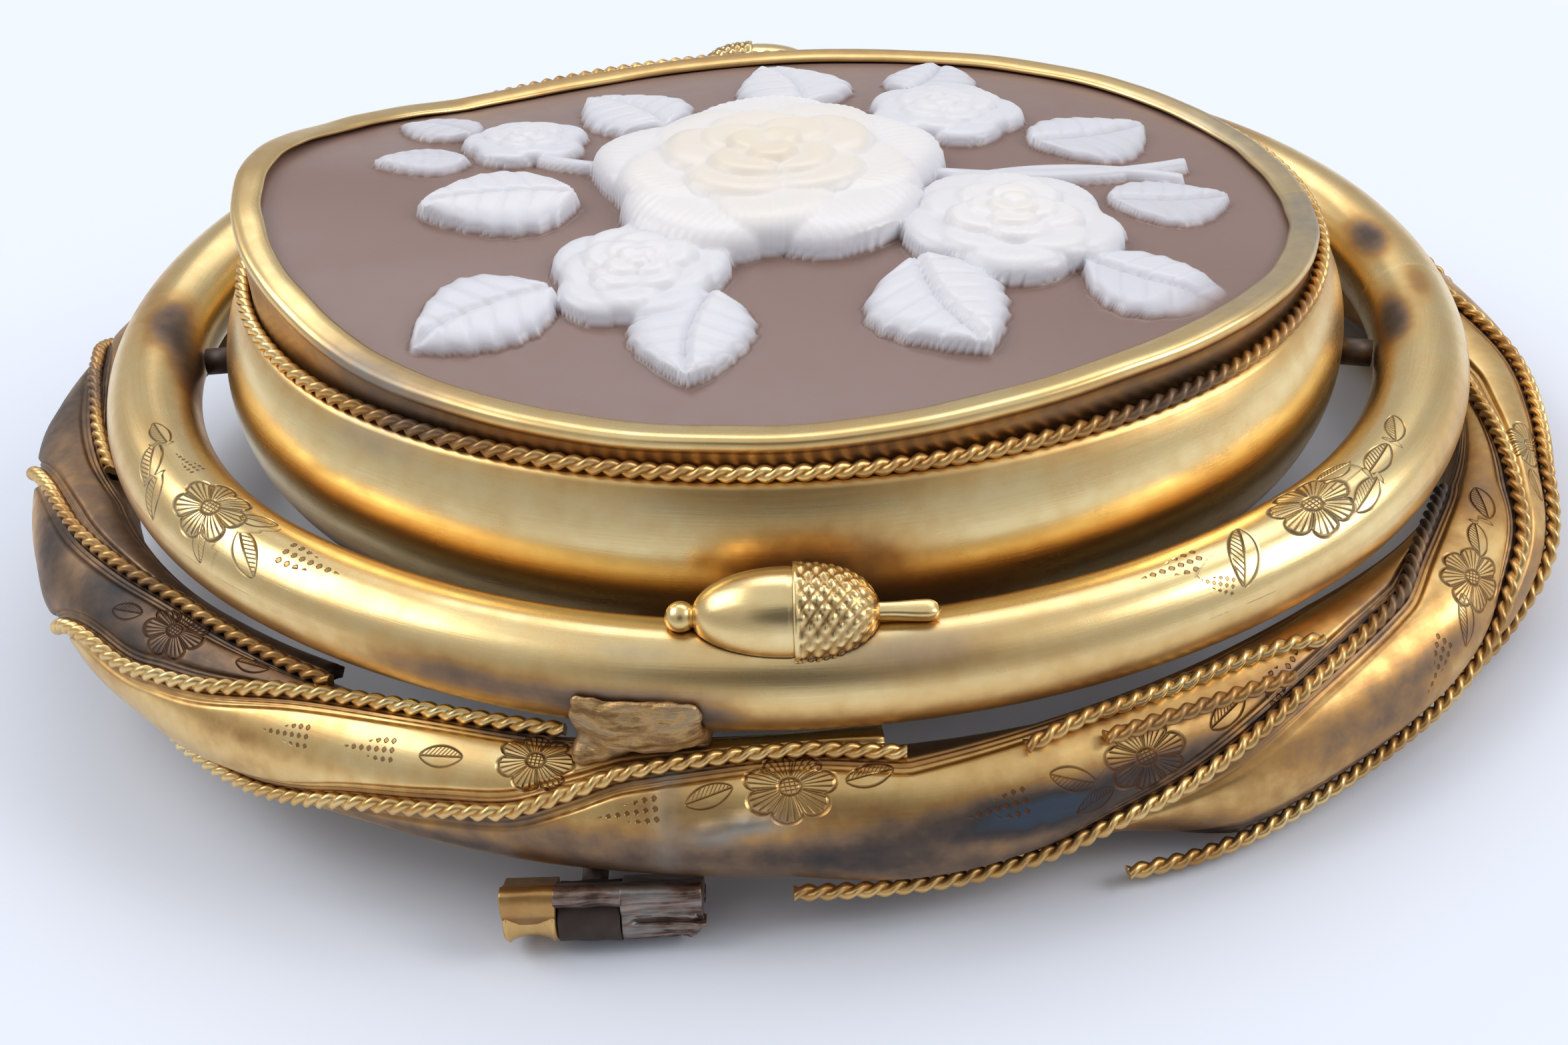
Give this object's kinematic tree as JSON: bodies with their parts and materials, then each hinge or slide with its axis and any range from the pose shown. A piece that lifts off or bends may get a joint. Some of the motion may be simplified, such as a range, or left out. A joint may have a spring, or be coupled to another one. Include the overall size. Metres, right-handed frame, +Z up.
{
  "type": "cameo brooch",
  "caption": "Large oval brooch: a carved shell cameo in a rolled setting, inside a hollow tube ring and a wreath of hollow leaves edged with wire, with a pin at the back.",
  "frame": {"origin": "on the surface the brooch lies on, under the middle of its outline", "axes": "+X along the long axis towards the low end of the setting's rim, +Y from the hinge towards the catch, +Z up out of the carved face"},
  "size_m": [0.0706, 0.0562, 0.02],
  "materials": {
    "shell": "satin",
    "gilt": "polished",
    "tarnished_gilt": "satin",
    "pin_metal": "satin",
    "solder": "matte"
  },
  "bodies": {
    "root": {"cameo": "shell", "bezel": "gilt", "collar_wire": "gilt", "gallery": "gilt", "tube_ring": "gilt", "acorn_front": "gilt", "acorn_back": "gilt", "wreath_tube": "tarnished_gilt", "leaf_1": "tarnished_gilt", "leaf_2": "gilt", "leaf_3": "gilt", "leaf_4": "tarnished_gilt", "leaf_5": "gilt", "leaf_6": "tarnished_gilt", "leaf_7": "gilt", "leaf_8": "tarnished_gilt", "leaf_9": "gilt", "leaf_10": "tarnished_gilt", "leaf_11": "gilt", "leaf_12": "tarnished_gilt", "edge_wire_1": "gilt", "edge_wire_2": "gilt", "edge_wire_3": "gilt", "edge_wire_4": "gilt", "edge_wire_5": "gilt", "edge_wire_6": "gilt", "edge_wire_7": "gilt", "edge_wire_8": "gilt", "edge_wire_9": "gilt", "edge_wire_10": "gilt", "edge_wire_11": "gilt", "edge_wire_12": "gilt", "loose_wire": "gilt", "inner_wire": "gilt", "solder_lump": "solder", "hinge": "tarnished_gilt", "pin": "pin_metal", "catch": "tarnished_gilt"}
  },
  "joints": []
}
